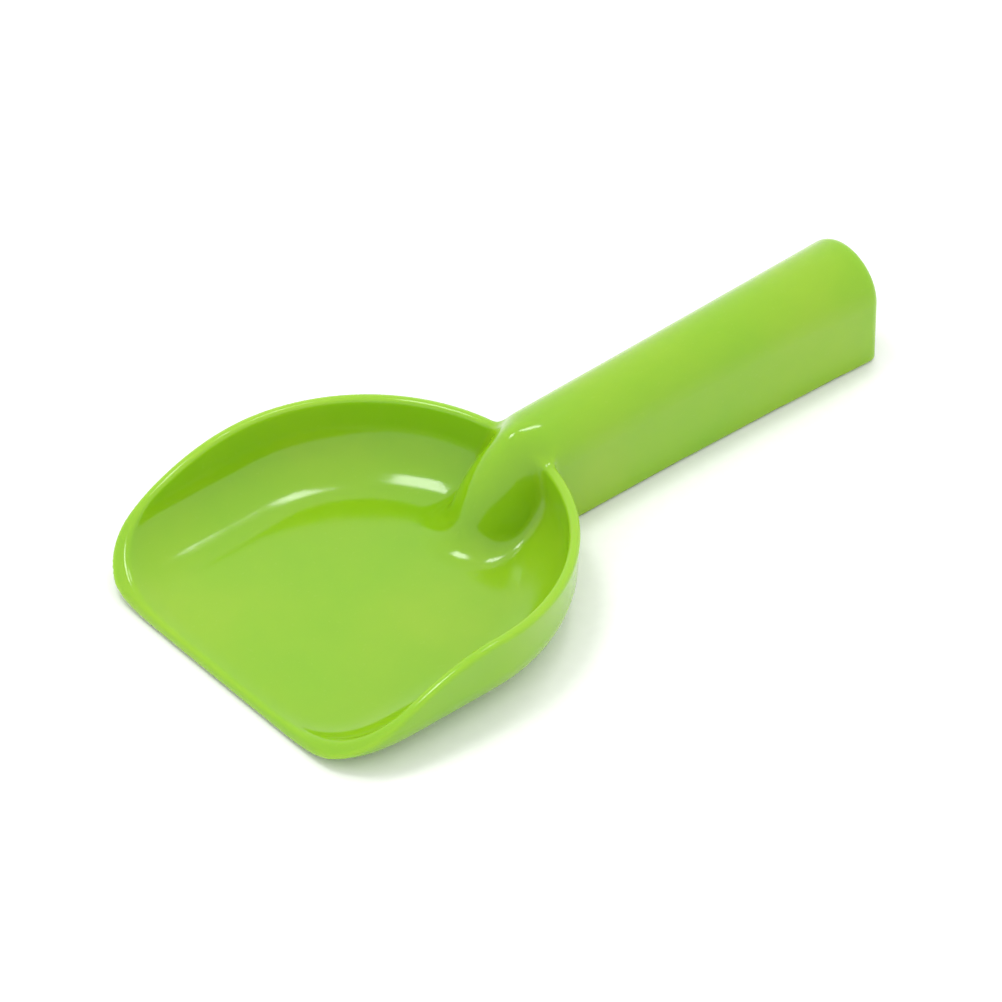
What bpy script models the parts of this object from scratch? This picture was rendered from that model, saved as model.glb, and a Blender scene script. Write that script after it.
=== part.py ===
"""A child's beach sand scoop: a round tray cut open at the front, and an arched handle whose
closed, domed nose stands inside the tray. The real scoop is one plastic moulding with a wall of
even thickness, open underneath along the handle.

Metres, +Z up. The origin is on the ground under the centre of the tray's round back, +X runs back
along the handle, and the scoop is symmetric about Y = 0. Every bottom edge is on the ground, Z = 0.
"""
import math

import bmesh
import bpy

NAME = "beach_sand_scoop"

# Whole scoop, along X
FRONT_X = -0.0494          # front edge of the tray
END_X = 0.1690             # end of the handle

WALL = 0.003               # thickness of the tray
GAP = 0.0003               # clearance between the tray and the handle

# Tray, seen from above: a half circle at the back, straight sides, a rounded front
TRAY_RADIUS = 0.056        # also half the scoop's width
SIDE_FRONT_X = -0.023      # where the straight sides end
FRONT_REACH = 0.0410       # from SIDE_FRONT_X to the uncut front of the tray
FRONT_POWER = 3.0          # squareness of the front's superellipse
TRAY_HEIGHT = 0.024        # level rim round the back
TRAY_FILLET = 0.013        # between floor and wall
TRAY_DRAFT = 0.0014        # how far the wall leans in from rim to ground
LIP_HEIGHT = 0.0034        # height of the front edge, where the sweep of the rim starts

# Handle: an upside-down U with a dome sloping down into the tray as its nose
NOSE_BACK_X = 0.050        # the dome's highest section
NOSE_LENGTH = 0.0235
NOSE_HALF_WIDTH = 0.0132   # along the ground
NOSE_TOP = 0.0304
NOSE_POWER = 1.4           # bigger for a blunter slope
NOSE_SIDE = 0.15           # upright part of the nose's side, as a share of its height
HANDLE_WALL = 0.0026
HANDLE_FRONT_X = 0.056     # where the handle leaves the tray's wall
HANDLE_HALF_WIDTH = 0.0110
HANDLE_TOP = 0.0309        # where it leaves the tray
FLARE_START_X = 0.072      # the handle widens from here to its end
FLARE = 0.0026
HANDLE_RISE = 0.0012       # how much higher the end is than the front
END_FILLET = 0.0025

# Facets
BACK_FACETS = 32
FRONT_FACETS = 14
FILLET_FACETS = 5
ARCH_FACETS = 16
NOSE_FACETS = 8
BARREL_FACETS = 9
END_FACETS = 2
CUT_FACETS = 14

LIME = (0.34, 0.62, 0.055, 1.0)
ROUGHNESS = 0.22

MARGIN = 0.02              # how far a cutter reaches past what it cuts


def clear_scene():
    for item in list(bpy.data.objects):
        bpy.data.objects.remove(item, do_unlink=True)


def new_collection(name):
    collection = bpy.data.collections.new(name)
    bpy.context.scene.collection.children.link(collection)
    return collection


def lime_plastic(name):
    material = bpy.data.materials.new(name)
    material.use_nodes = True
    shader = material.node_tree.nodes["Principled BSDF"]
    shader.inputs["Base Color"].default_value = LIME
    shader.inputs["Roughness"].default_value = ROUGHNESS
    shader.inputs["Metallic"].default_value = 0.0
    material.diffuse_color = LIME
    return material


def solid_from_outline(name, points, height, collection):
    """A closed mesh prism over a flat outline: a filled 2D curve, extruded both ways from Z = 0."""
    curve = bpy.data.curves.new(name, "CURVE")
    curve.dimensions = "2D"
    curve.fill_mode = "BOTH"
    curve.extrude = height / 2
    spline = curve.splines.new("POLY")
    spline.points.add(len(points) - 1)
    for point, (x, y) in zip(spline.points, points):
        point.co = (x, y, 0, 1)
    spline.use_cyclic_u = True
    drawn = bpy.data.objects.new(name + "_outline", curve)
    collection.objects.link(drawn)
    evaluated = drawn.evaluated_get(bpy.context.evaluated_depsgraph_get())
    mesh = bpy.data.meshes.new_from_object(evaluated)
    bpy.data.objects.remove(drawn)
    bm = bmesh.new()
    bm.from_mesh(mesh)
    bmesh.ops.remove_doubles(bm, verts=bm.verts, dist=1e-6)
    bmesh.ops.dissolve_limit(bm, angle_limit=0.001, verts=bm.verts, edges=bm.edges)
    bmesh.ops.recalc_face_normals(bm, faces=bm.faces)
    bm.to_mesh(mesh)
    bm.free()
    mesh.name = name
    solid = bpy.data.objects.new(name, mesh)
    collection.objects.link(solid)
    return solid


def front_curve(inset):
    """The rounded front from its middle round to the left side, as a superellipse quarter."""
    reach = FRONT_REACH - inset
    half_width = TRAY_RADIUS - inset
    points = []
    for step in range(FRONT_FACETS + 1):
        angle = math.pi / 2 * step / FRONT_FACETS
        x = SIDE_FRONT_X - reach * max(math.cos(angle), 0.0) ** (2 / FRONT_POWER)
        y = half_width * math.sin(angle) ** (2 / FRONT_POWER)
        points.append((x, y))
    return points


def tray_outline(inset):
    """The closed oval of the tray from above, drawn in by inset, anticlockwise."""
    left_front = front_curve(inset)
    right_front = [(x, -y) for x, y in left_front[1:]]
    radius = TRAY_RADIUS - inset
    back = []
    for step in range(BACK_FACETS + 1):
        angle = math.pi * step / BACK_FACETS - math.pi / 2
        back.append((radius * math.cos(angle), radius * math.sin(angle)))
    return right_front + back + left_front[:0:-1] + left_front[:1]


def add_draft(solid):
    """Leans the walls out as they rise: the outline has its full size at the height of the rim."""
    for vertex in solid.data.vertices:
        below_rim = (TRAY_HEIGHT - vertex.co.z) / TRAY_HEIGHT
        shrink = 1 - TRAY_DRAFT / TRAY_RADIUS * below_rim
        vertex.co.x *= shrink
        vertex.co.y *= shrink


def round_bottom(solid, bottom_z):
    """A Bevel modifier on the bottom outline only."""
    mesh = solid.data
    bm = bmesh.new()
    bm.from_mesh(mesh)
    weight = bm.edges.layers.float.new("bevel_weight_edge")
    for edge in bm.edges:
        if all(vertex.co.z < bottom_z + 1e-5 for vertex in edge.verts):
            edge[weight] = 1.0
    bm.to_mesh(mesh)
    bm.free()
    bevel = solid.modifiers.new("floor fillet", "BEVEL")
    bevel.limit_method = "WEIGHT"
    bevel.width = TRAY_FILLET
    bevel.segments = FILLET_FACETS
    bevel.use_clamp_overlap = False


def tray_block(name, inset, bottom_z, top_z, collection):
    """A solid tray with a drafted wall and a rounded bottom edge."""
    height = top_z - bottom_z
    block = solid_from_outline(name, tray_outline(inset), height, collection)
    for vertex in block.data.vertices:
        vertex.co.z += bottom_z + height / 2
    add_draft(block)
    round_bottom(block, bottom_z)
    return block


def rim_cutter(collection):
    """All that is in front of the front edge or above the rim: a prism across the scoop, whose edge
    sweeps up from the lip to the level rim as a parabola.
    """
    sweep = []
    for step in range(CUT_FACETS + 1):
        share = 1 - step / CUT_FACETS
        sweep.append((FRONT_X * share, TRAY_HEIGHT - (TRAY_HEIGHT - LIP_HEIGHT) * share ** 2))
    front = 2 * FRONT_X
    top = TRAY_HEIGHT + 3 * MARGIN
    below = [(front, -MARGIN), (FRONT_X, -MARGIN)]
    above = [(END_X, TRAY_HEIGHT), (END_X, top), (front, top)]
    outline = below + sweep + above
    cutter = solid_from_outline("rim_cutter", outline, 4 * TRAY_RADIUS, collection)
    for vertex in cutter.data.vertices:
        x, z, y = vertex.co
        vertex.co = (x, -y, z)
    return cutter


def handle_half_width(x):
    flare = max(x - FLARE_START_X, 0.0) / (END_X - FLARE_START_X)
    return HANDLE_HALF_WIDTH + FLARE * flare ** 2


def handle_top(x):
    drop = (END_X - x) / (END_X - HANDLE_FRONT_X)
    return HANDLE_TOP + HANDLE_RISE * (1 - drop ** 2)


def nose_sections(offset):
    """(x, half width, height of the upright side, top) of each section of the dome, from its tip."""
    sections = []
    for step in range(1, NOSE_FACETS + 1):
        angle = math.pi / 2 * step / NOSE_FACETS
        x = NOSE_BACK_X - (NOSE_LENGTH + offset) * math.cos(angle)
        half_width = (NOSE_HALF_WIDTH + offset) * math.sin(angle)
        top = (NOSE_TOP + offset) * (1 - max(math.cos(angle), 0.0) ** NOSE_POWER)
        sections.append((x, half_width, NOSE_SIDE * top, top))
    return sections


def barrel_sections(offset):
    """The same for the rest of the handle, whose arch is a half circle, up to its rounded end."""
    sections = []
    end = END_X + offset - END_FILLET
    for step in range(BARREL_FACETS + 1):
        x = HANDLE_FRONT_X + (end - HANDLE_FRONT_X) * step / BARREL_FACETS
        half_width = handle_half_width(x) + offset
        top = handle_top(x) + offset
        sections.append((x, half_width, top - half_width, top))
    for step in range(1, END_FACETS + 1):
        angle = math.pi / 2 * step / END_FACETS
        x = end + END_FILLET * math.sin(angle)
        inset = END_FILLET * (1 - math.cos(angle)) - offset
        half_width = handle_half_width(x) - inset
        top = handle_top(x) - inset
        sections.append((x, half_width, top - half_width, top))
    return sections


def arch_section(x, half_width, side, top, bottom_z):
    """An upside-down U: upright sides and half an ellipse over them, closed along the bottom."""
    section = [(x, half_width, bottom_z)]
    for step in range(ARCH_FACETS + 1):
        angle = math.pi * step / ARCH_FACETS
        section.append((x, half_width * math.cos(angle), side + (top - side) * math.sin(angle)))
    section.append((x, -half_width, bottom_z))
    return section


def arched_solid(name, offset, bottom_z, collection):
    """The filled handle, moved out by offset: a loft through its sections, closed at each end."""
    bm = bmesh.new()
    rings = []
    for x, half_width, side, top in nose_sections(offset) + barrel_sections(offset):
        rings.append([bm.verts.new(point) for point in arch_section(x, half_width, side, top, bottom_z)])
    for near, far in zip(rings, rings[1:]):
        for i in range(len(near)):
            j = (i + 1) % len(near)
            bm.faces.new((near[i], near[j], far[j], far[i]))
    bm.faces.new(rings[0])
    bm.faces.new(rings[-1])
    bmesh.ops.recalc_face_normals(bm, faces=bm.faces)
    mesh = bpy.data.meshes.new(name)
    bm.to_mesh(mesh)
    bm.free()
    solid = bpy.data.objects.new(name, mesh)
    collection.objects.link(solid)
    return solid


def cut(solid, cutter):
    cutter.hide_render = True
    cutter.display_type = "WIRE"
    modifier = solid.modifiers.new(cutter.name, "BOOLEAN")
    modifier.operation = "DIFFERENCE"
    modifier.solver = "EXACT"
    modifier.object = cutter


def finish(solid, parent):
    solid.data.materials.clear()
    solid.data.materials.append(lime_plastic(solid.name + "_plastic"))
    solid.data.shade_smooth()
    solid.data.set_sharp_from_angle(angle=math.radians(35))
    solid.parent = parent


def make_bowl(parts, cutters):
    """The tray: floor, wall and rim, open at the front, with a slot for the front of the handle."""
    bowl = tray_block("bowl", 0.0, 0.0, TRAY_HEIGHT + MARGIN, parts)
    inside = tray_block("bowl_inside", WALL, WALL, TRAY_HEIGHT + 2 * MARGIN, cutters)
    slot = arched_solid("handle_slot", GAP, -MARGIN, cutters)
    for cutter in (inside, rim_cutter(cutters), slot):
        cut(bowl, cutter)
    return bowl


def make_handle(parts, cutters):
    """The handle: an arched channel, open along its underside and closed at both ends."""
    handle = arched_solid("handle", 0.0, 0.0, parts)
    cut(handle, arched_solid("handle_inside", -HANDLE_WALL, -MARGIN, cutters))
    return handle


def main():
    clear_scene()
    parts = new_collection(NAME)
    cutters = new_collection(NAME + "_cutters")
    scoop = bpy.data.objects.new(NAME + "_origin", None)
    parts.objects.link(scoop)
    for solid in (make_bowl(parts, cutters), make_handle(parts, cutters)):
        finish(solid, scoop)


main()
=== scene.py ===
"""Toy beach sand scoop: one glossy lime green moulding on a pale studio floor."""

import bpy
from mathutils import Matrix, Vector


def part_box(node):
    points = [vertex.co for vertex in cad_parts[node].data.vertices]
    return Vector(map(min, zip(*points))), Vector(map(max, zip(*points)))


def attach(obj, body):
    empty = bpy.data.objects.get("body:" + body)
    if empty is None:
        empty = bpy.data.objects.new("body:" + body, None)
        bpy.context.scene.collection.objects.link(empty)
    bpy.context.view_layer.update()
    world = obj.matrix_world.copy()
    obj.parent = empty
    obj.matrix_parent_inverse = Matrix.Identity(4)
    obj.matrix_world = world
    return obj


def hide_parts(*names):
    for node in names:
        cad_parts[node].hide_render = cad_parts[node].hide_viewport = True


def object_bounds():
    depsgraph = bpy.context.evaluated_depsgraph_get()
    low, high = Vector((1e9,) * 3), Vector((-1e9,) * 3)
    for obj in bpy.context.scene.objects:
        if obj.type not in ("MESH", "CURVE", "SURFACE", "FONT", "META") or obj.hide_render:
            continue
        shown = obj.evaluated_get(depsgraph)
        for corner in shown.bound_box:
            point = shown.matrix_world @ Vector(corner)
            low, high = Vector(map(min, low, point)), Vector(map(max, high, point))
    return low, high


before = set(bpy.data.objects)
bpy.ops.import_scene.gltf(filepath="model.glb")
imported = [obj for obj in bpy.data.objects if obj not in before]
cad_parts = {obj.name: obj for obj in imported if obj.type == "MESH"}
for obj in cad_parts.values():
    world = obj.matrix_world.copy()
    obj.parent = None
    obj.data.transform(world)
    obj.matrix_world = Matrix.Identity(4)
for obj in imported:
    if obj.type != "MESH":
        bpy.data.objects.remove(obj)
CAD_BOX = [list(corner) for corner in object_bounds()]

import math

import bpy
import numpy as np
from mathutils import Vector

# Sizes are in millimetres, as in the CAD, up to the materials. These come from the CAD's box.
LOW = np.array(CAD_BOX[0]) * 1000
HIGH = np.array(CAD_BOX[1]) * 1000
FRONT_X = LOW[0]
END_X = HIGH[0]
RADIUS = HIGH[1]
RIM_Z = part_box("bowl")[1][2] * 1000
END_TOP = HIGH[2]

# Tray
WALL = 3.0
SIDE_FRONT_X = -23.0       # where the straight sides end and the rounded front starts
FRONT_REACH = 41.0         # from there to the uncut front
FRONT_POWER = 3.0          # squareness of the front's superellipse
DRAFT = 1.4                # how far the wall leans in from rim to ground
OUTER_FILLET = 13.0
INNER_FILLET_ACROSS = 17.0 # the hollow's fillet is wider than it is high
INNER_FILLET_UP = 13.5
LIP_Z = 3.4                # height of the front edge

# Handle and nose
NOSE_BACK_X = 53.0
NOSE_LENGTH = 24.5
NOSE_HALF_WIDTH = 13.8
NOSE_TOP = 30.6
NOSE_ACROSS_POWER = 1.75   # 2 and 2 would be an ellipsoid; less makes it more pointed
NOSE_UP_POWER = 1.4
NOSE_BLEND_X = 46.0        # where the nose starts to turn into the handle's round arch
NOSE_BLEND = 12.0          # and over what length it does
HANDLE_FRONT_X = 56.0
HANDLE_HALF_WIDTH = 11.0
HANDLE_TOP = 30.9
FLARE_START_X = 72.0       # the handle widens from here to its end
FLARE = 2.4
HANDLE_WALL = 2.6
END_ROUND = 3.2

# Roundings, as the width over which two faces run into each other
RIM_ROUND = 1.5
CREASE_ROUND = 3.0
FOOT_ROUND = 8.0
UNDER_ROUND = 0.7

CELL = 0.8                 # size of the mesh's faces


# ---------------------------------------------------------------------------- shape

def smooth_step(value):
    t = np.clip(value, 0.0, 1.0)
    return t * t * (3 - 2 * t)


def union(a, b, width):
    """The nearer of two distances, rounded where they are within width of each other."""
    near = np.maximum(width - np.abs(a - b), 0) / width
    return np.minimum(a, b) - near * near * width / 4


def common(a, b, width):
    """The farther of two distances, rounded in the same way."""
    return -union(-a, -b, width)


def outline_distance(x, y):
    """Distance outside the tray's outline at the rim, seen from above."""
    round_back = np.hypot(x, y) - RADIUS
    side = np.abs(y) - RADIUS
    forward = np.maximum(SIDE_FRONT_X - x, 0) / FRONT_REACH
    across = np.maximum(np.abs(y), 1e-6) / RADIUS
    total = np.maximum(forward ** FRONT_POWER + across ** FRONT_POWER, 1e-9)
    size = total ** (1 / FRONT_POWER)
    share = size / total
    slope_x = share * forward ** (FRONT_POWER - 1) / FRONT_REACH
    slope_y = share * across ** (FRONT_POWER - 1) / RADIUS
    rounded_front = (size - 1) / np.maximum(np.hypot(slope_x, slope_y), 1e-6)
    front = np.where(x < SIDE_FRONT_X, rounded_front, side)
    return np.where(x > 0, round_back, front)


def tray_solid(x, y, z, inset, fillet_across, fillet_up):
    """Distance outside the filled tray, moved in and up by inset, with a rounded bottom edge."""
    shrink = 1 - DRAFT / RADIUS * (RIM_Z - z) / RIM_Z
    wall = outline_distance(x / shrink, y / shrink) + inset
    floor = inset - z
    u = np.maximum(wall + fillet_across, 0) / fillet_across
    v = np.maximum(floor + fillet_up, 0) / fillet_up
    size = np.maximum(np.hypot(u, v), 1e-6)
    slope = np.hypot(u / fillet_across, v / fillet_up) / size
    rounded = (size - 1) / np.maximum(slope, 1e-6)
    return np.where(size > 0.05, rounded, -min(fillet_across, fillet_up))


def rim_height(x):
    """Level round the back, then sweeping down to the front edge as a parabola."""
    share = np.clip(x / FRONT_X, 0, 1.2)
    return RIM_Z - (RIM_Z - LIP_Z) * share ** 2


def handle_section(x, y, z):
    """Below 0 inside the handle and above 0 outside, with no unit."""
    rising = np.clip((END_X - x) / (END_X - HANDLE_FRONT_X), 0, 1.1)
    barrel_top = END_TOP - (END_TOP - HANDLE_TOP) * rising ** 2
    flare = np.maximum(x - FLARE_START_X, 0) / (END_X - FLARE_START_X)
    barrel_half_width = HANDLE_HALF_WIDTH + FLARE * flare ** 2
    share = smooth_step((x - NOSE_BLEND_X) / NOSE_BLEND)
    half_width = NOSE_HALF_WIDTH + (barrel_half_width - NOSE_HALF_WIDTH) * share
    top = NOSE_TOP + (barrel_top - NOSE_TOP) * share
    side = (barrel_top - barrel_half_width) * share
    across_power = NOSE_ACROSS_POWER + (2 - NOSE_ACROSS_POWER) * share
    up_power = NOSE_UP_POWER + (2 - NOSE_UP_POWER) * share
    forward = np.maximum(NOSE_BACK_X - x, 0) / NOSE_LENGTH
    across = np.hypot(y / half_width, forward) ** across_power
    up = (np.maximum(z - side, 0.0) / (top - side) + 1e-4) ** up_power
    return (across + up + 1e-6) ** 0.5 - 1


def handle_distance(x, y, z):
    """handle_section as a distance: divided by how fast it changes."""
    step = 0.15
    middle = handle_section(x, y, z)
    slope_x = handle_section(x + step, y, z) - handle_section(x - step, y, z)
    slope_y = handle_section(x, y + step, z) - handle_section(x, y - step, z)
    slope_z = handle_section(x, y, z + step) - handle_section(x, y, z - step)
    slope = np.sqrt(slope_x ** 2 + slope_y ** 2 + slope_z ** 2) / (2 * step)
    return np.clip(middle / np.maximum(slope, 0.01), -12, 12)


def moulding(x, y, z):
    """Distance outside the scoop's plastic, below 0 inside it."""
    outer = tray_solid(x, y, z, 0.0, OUTER_FILLET, OUTER_FILLET)
    hollow = tray_solid(x, y, z, WALL, INNER_FILLET_ACROSS, INNER_FILLET_UP)
    shell = common(outer, -hollow, 0.6)
    steepness = 2 * (RIM_Z - LIP_Z) / FRONT_X ** 2 * np.clip(-x, 0, -FRONT_X)
    above_rim = (z - rim_height(x)) / np.sqrt(1 + steepness ** 2)
    shell = common(shell, above_rim, RIM_ROUND)
    shell = common(shell, FRONT_X - x, RIM_ROUND)
    grip = handle_distance(x, y, z)
    handle = common(grip, x - END_X, END_ROUND)
    hollow_handle = common(grip + HANDLE_WALL, x - END_X + HANDLE_WALL, END_ROUND)
    width = CREASE_ROUND + (FOOT_ROUND - CREASE_ROUND) * smooth_step((44 - x) / 14)
    whole = union(shell, handle, width)
    whole = common(whole, -hollow_handle, UNDER_ROUND)
    return common(whole, -z, UNDER_ROUND)


def slope_of(points, step=0.05):
    """Which way the distance grows at each point, and how fast."""
    x, y, z = points.T
    slope = np.empty_like(points)
    for axis in range(3):
        ahead = [x, y, z]
        behind = [x, y, z]
        ahead[axis] = ahead[axis] + step
        behind[axis] = behind[axis] - step
        slope[:, axis] = (moulding(*ahead) - moulding(*behind)) / (2 * step)
    return slope


def onto_surface(points, rounds):
    """Moves each point onto the moulding's skin, by Newton's method."""
    for _ in range(rounds):
        slope = slope_of(points)
        steep = np.maximum((slope ** 2).sum(axis=1), 0.05)
        away = moulding(*points.T) / steep
        points = points - np.clip(away, -CELL, CELL)[:, None] * slope
    return points


def surface_net(cell):
    """Vertices and four-cornered faces of the moulding's skin, on a grid of that cell size."""
    low = LOW - 1.5 * cell
    counts = np.ceil((HIGH - LOW) / cell).astype(int) + 4
    counts[1] += (counts[1] + 1) % 2
    low[1] = -(counts[1] - 1) / 2 * cell
    axes = [low[i] + cell * np.arange(counts[i]) + (0.017 if i != 1 else 0.0) for i in range(3)]
    values = np.empty(counts, np.float64)
    for i, x in enumerate(axes[0]):
        y, z = np.meshgrid(axes[1], axes[2], indexing="ij")
        values[i] = moulding(np.full_like(y, x), y, z)
    inside = values < 0
    cells = np.array(counts) - 1
    total = np.zeros((*cells, 3))
    hits = np.zeros(cells)
    corners = [(i, j, k) for i in (0, 1) for j in (0, 1) for k in (0, 1)]

    def corner(array, at):
        return array[at[0]:at[0] + cells[0], at[1]:at[1] + cells[1], at[2]:at[2] + cells[2]]

    for first in corners:
        for axis in range(3):
            if first[axis]:
                continue
            second = list(first)
            second[axis] = 1
            crossed = corner(inside, first) != corner(inside, second)
            a = corner(values, first)[crossed]
            b = corner(values, second)[crossed]
            place = np.tile(np.array(first, float), (len(a), 1))
            place[:, axis] = a / (a - b)
            total[crossed] += place
            hits[crossed] += 1
    used = hits > 0
    number = np.full(cells, -1)
    number[used] = np.arange(used.sum())
    start = np.stack([axes[i][:-1][index] for i, index in enumerate(np.nonzero(used))], axis=1)
    vertices = start + cell * total[used] / hits[used][:, None]

    faces = []
    for axis in range(3):
        across, up = (axis + 1) % 3, (axis + 2) % 3
        here = [slice(1, -1)] * 3
        there = list(here)
        here[axis] = slice(0, -1)
        there[axis] = slice(1, None)
        a, b = inside[tuple(here)], inside[tuple(there)]
        for leaving in (True, False):
            at = np.stack(np.nonzero(a & ~b if leaving else b & ~a), axis=1)
            at[:, across] += 1
            at[:, up] += 1
            ring = []
            for da, du in ((-1, -1), (0, -1), (0, 0), (-1, 0)):
                cell_at = at.copy()
                cell_at[:, across] += da
                cell_at[:, up] += du
                ring.append(number[tuple(cell_at.T)])
            quads = np.stack(ring, axis=1)
            faces.append(quads if leaving else quads[:, ::-1])
    return vertices, np.concatenate(faces)


def relaxed(vertices, faces, rounds):
    """Evens out the faces: each vertex moves towards its neighbours' middle, then back on the skin."""
    edges = np.concatenate([faces[:, [i, (i + 1) % 4]] for i in range(4)])
    for _ in range(rounds):
        total = np.zeros_like(vertices)
        count = np.zeros(len(vertices))
        for a, b in ((0, 1), (1, 0)):
            np.add.at(total, edges[:, a], vertices[edges[:, b]])
            np.add.at(count, edges[:, a], 1)
        middle = total / count[:, None]
        vertices = onto_surface(vertices + 0.5 * (middle - vertices), 2)
    return vertices


def moulded_scoop():
    """The whole scoop as one closed mesh, whose shading follows the exact shape."""
    vertices, faces = surface_net(CELL)
    vertices = onto_surface(vertices, 2)
    vertices = relaxed(vertices, faces, 3)
    vertices = onto_surface(vertices, 2)
    vertices = np.clip(vertices, LOW, HIGH)
    normals = slope_of(vertices, 0.12)
    normals /= np.maximum(np.linalg.norm(normals, axis=1), 1e-6)[:, None]
    mesh = bpy.data.meshes.new("scoop_moulding")
    mesh.from_pydata((vertices / 1000).tolist(), [], faces.tolist())
    mesh.validate()
    mesh.shade_smooth()
    mesh.normals_split_custom_set_from_vertices(normals.tolist())
    scoop = bpy.data.objects.new("scoop_moulding", mesh)
    bpy.context.scene.collection.objects.link(scoop)
    return scoop


# ------------------------------------------------------------------------- material

def node(tree, kind, **settings):
    made = tree.nodes.new(kind)
    for name, value in settings.items():
        setattr(made, name, value)
    return made


def noise(tree, where, scale, detail=2.0, roughness=0.5):
    made = node(tree, "ShaderNodeTexNoise")
    made.inputs["Scale"].default_value = scale
    made.inputs["Detail"].default_value = detail
    made.inputs["Roughness"].default_value = roughness
    tree.links.new(where, made.inputs["Vector"])
    return made.outputs["Fac"]


def ramp(tree, value, stops):
    made = node(tree, "ShaderNodeValToRGB")
    elements = made.color_ramp.elements
    while len(elements) < len(stops):
        elements.new(0.5)
    for element, (position, colour) in zip(elements, stops):
        element.position = position
        element.color = colour
    tree.links.new(value, made.inputs["Fac"])
    return made.outputs["Color"]


def map_range(tree, value, low, high, to_low, to_high):
    made = node(tree, "ShaderNodeMapRange")
    for name, number in (("From Min", low), ("From Max", high), ("To Min", to_low), ("To Max", to_high)):
        made.inputs[name].default_value = number
    tree.links.new(value, made.inputs["Value"])
    return made.outputs["Result"]


def mix_colour(tree, share, a, b, kind="MIX"):
    made = node(tree, "ShaderNodeMix", data_type="RGBA", blend_type=kind)
    for name, value in (("Factor", share), ("A", a), ("B", b)):
        socket = next(s for s in made.inputs if s.name == name and s.enabled)
        if isinstance(value, (float, tuple)):
            socket.default_value = value
        else:
            tree.links.new(value, socket)
    return next(s for s in made.outputs if s.enabled)


def lime_plastic():
    """Glossy plastic that lets some light through: cloudy colour, a painted highlight that makes convex
    edges paler, specks, fine scratches along the handle, and a slightly uneven, finely grained surface.
    """
    material = bpy.data.materials.new("lime_plastic")
    material.use_nodes = True
    tree = material.node_tree
    shader = tree.nodes["Principled BSDF"]
    where = node(tree, "ShaderNodeTexCoord").outputs["Object"]

    cloud = noise(tree, where, 22, detail=3)
    colour = ramp(tree, cloud, (
        (0.30, (0.212, 0.448, 0.006, 1)),
        (0.55, (0.238, 0.458, 0.008, 1)),
        (0.75, (0.268, 0.468, 0.012, 1))))
    # Painted highlight: convex edges, found by pointiness, are mixed towards a paler green in place of
    # the sheen that light gives rounded edges.
    point = node(tree, "ShaderNodeNewGeometry").outputs["Pointiness"]
    edge = map_range(tree, point, 0.52, 0.60, 0.0, 0.55)
    colour = mix_colour(tree, edge, colour, (0.380, 0.560, 0.040, 1))
    speck = noise(tree, where, 900, detail=1)
    speck = map_range(tree, speck, 0.68, 0.76, 0.0, 0.10)
    colour = mix_colour(tree, speck, colour, (0.36, 0.54, 0.07, 1))
    tree.links.new(colour, shader.inputs["Base Color"])

    smear = noise(tree, where, 35, detail=4, roughness=0.6)
    stretched = node(tree, "ShaderNodeMapping")
    stretched.inputs["Scale"].default_value = (40, 900, 900)
    stretched.inputs["Rotation"].default_value = (0.0, 0.0, 0.35)
    tree.links.new(where, stretched.inputs["Vector"])
    scratch = noise(tree, stretched.outputs["Vector"], 1.0, detail=2)
    scratch = map_range(tree, scratch, 0.66, 0.74, 0.0, 0.10)
    rough = map_range(tree, smear, 0.3, 0.7, 0.09, 0.15)
    total = node(tree, "ShaderNodeMath", operation="ADD")
    tree.links.new(rough, total.inputs[0])
    tree.links.new(scratch, total.inputs[1])
    tree.links.new(total.outputs["Value"], shader.inputs["Roughness"])

    grain = noise(tree, where, 1400, detail=2)
    sink = noise(tree, where, 60, detail=2)
    fine = node(tree, "ShaderNodeBump")
    fine.inputs["Strength"].default_value = 0.05
    fine.inputs["Distance"].default_value = 0.0002
    tree.links.new(grain, fine.inputs["Height"])
    broad = node(tree, "ShaderNodeBump")
    broad.inputs["Strength"].default_value = 0.12
    broad.inputs["Distance"].default_value = 0.001
    tree.links.new(sink, broad.inputs["Height"])
    tree.links.new(fine.outputs["Normal"], broad.inputs["Normal"])
    tree.links.new(broad.outputs["Normal"], shader.inputs["Normal"])

    shader.inputs["IOR"].default_value = 1.49
    shader.inputs["Subsurface Weight"].default_value = 0.5
    shader.inputs["Subsurface Radius"].default_value = (0.8, 1.0, 0.1)
    shader.inputs["Subsurface Scale"].default_value = 0.006
    return material


def floor_material():
    material = bpy.data.materials.new("studio_floor")
    material.use_nodes = True
    tree = material.node_tree
    shader = tree.nodes["Principled BSDF"]
    where = node(tree, "ShaderNodeTexCoord").outputs["Object"]
    fibre = noise(tree, where, 300, detail=3)
    pale = ramp(tree, fibre, ((0.2, (0.90, 0.90, 0.90, 1)), (0.8, (0.93, 0.93, 0.93, 1))))
    tree.links.new(pale, shader.inputs["Base Color"])
    tree.links.new(map_range(tree, fibre, 0.2, 0.8, 0.55, 0.65), shader.inputs["Roughness"])
    return material


# ----------------------------------------------------------------- studio and camera

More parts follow.
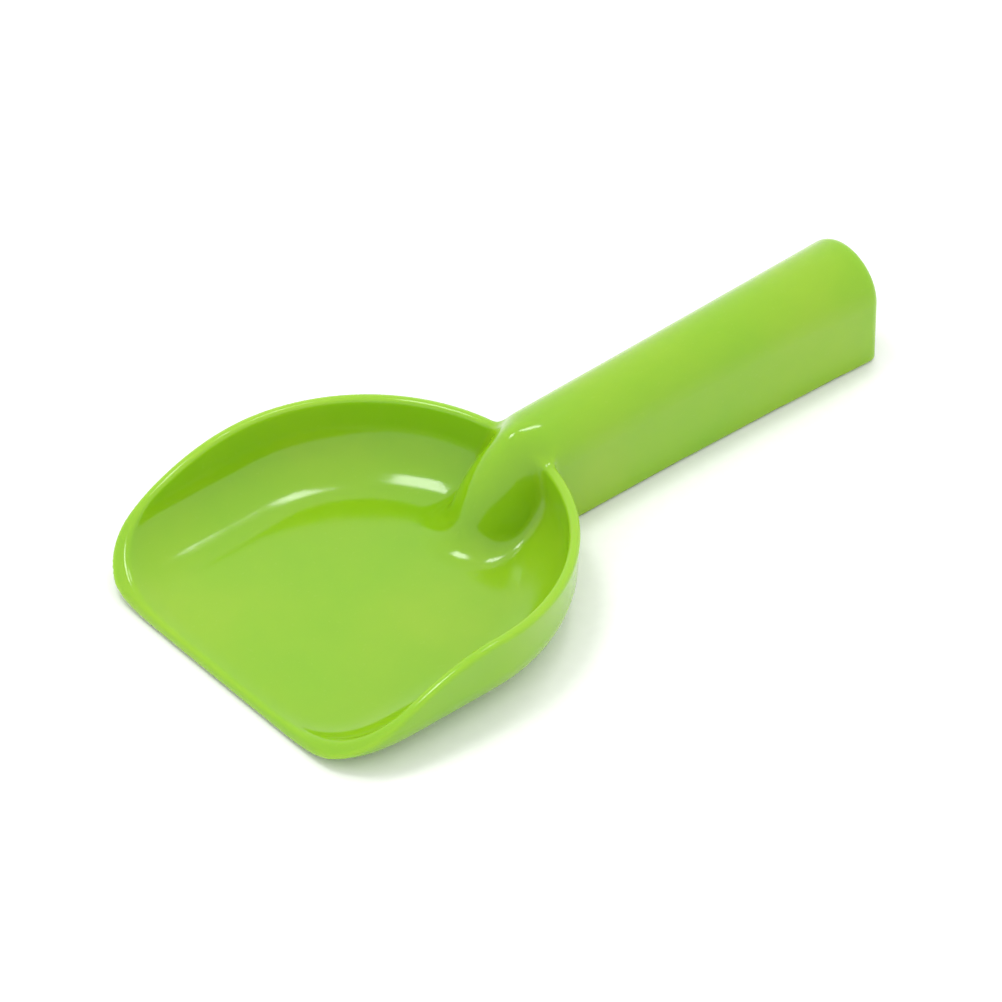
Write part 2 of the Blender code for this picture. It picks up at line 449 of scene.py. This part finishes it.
TARGET = Vector((0.04409, -0.00257, 0.0113))
TURN = math.radians(-40.3)
TILT = math.radians(40.7)
DISTANCE = 2.0
PIXELS_PER_METRE = 3810    # at the target, in an image as wide as below
IMAGE_WIDTH = 1002
LAMP_DISTANCE = 1.2
FLOOR_DROP = 0.0004        # so that the floor and the scoop's underside don't coincide


def add_camera():
    back = Vector((math.sin(TURN) * math.cos(TILT), -math.cos(TURN) * math.cos(TILT), math.sin(TILT)))
    data = bpy.data.cameras.new("camera")
    data.sensor_width = 36
    data.lens = PIXELS_PER_METRE * DISTANCE * data.sensor_width / IMAGE_WIDTH
    data.clip_end = 20
    camera = bpy.data.objects.new("camera", data)
    camera.location = TARGET + back * DISTANCE
    camera.rotation_euler = (-back).to_track_quat("-Z", "Y").to_euler()
    bpy.context.scene.collection.objects.link(camera)
    bpy.context.scene.camera = camera


def softbox(name, towards, size, energy):
    """A rectangular lamp in that direction from the scoop, facing it."""
    data = bpy.data.lights.new(name, "AREA")
    data.shape = "RECTANGLE"
    data.size, data.size_y = size
    data.energy = energy
    lamp = bpy.data.objects.new(name, data)
    direction = Vector(towards).normalized()
    lamp.location = TARGET + direction * LAMP_DISTANCE
    lamp.rotation_euler = (-direction).to_track_quat("-Z", "Y").to_euler()
    bpy.context.scene.collection.objects.link(lamp)


def add_studio():
    """A pale floor, even white light all round, and two softboxes whose reflections show."""
    bpy.ops.mesh.primitive_grid_add(x_subdivisions=8, y_subdivisions=8, size=6)
    floor = bpy.context.active_object
    floor.name = "studio_floor"
    floor.location.z = -FLOOR_DROP
    floor.data.materials.append(floor_material())
    world = bpy.data.worlds.new("studio_world")
    world.use_nodes = True
    world.node_tree.nodes["Background"].inputs["Color"].default_value = (1, 1, 1, 1)
    world.node_tree.nodes["Background"].inputs["Strength"].default_value = 1.15
    bpy.context.scene.world = world
    softbox("overhead", (-0.17, 0.22, 0.95), (0.34, 0.30), 3.4)
    softbox("behind", (0.32, 0.12, 0.92), (0.20, 0.18), 1.2)
    bpy.context.scene.view_settings.view_transform = "Standard"


# ---------------------------------------------------------------------------- build

scoop = moulded_scoop()
scoop.data.materials.append(lime_plastic())
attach(scoop, "root")
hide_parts("bowl", "handle")
add_studio()
add_camera()
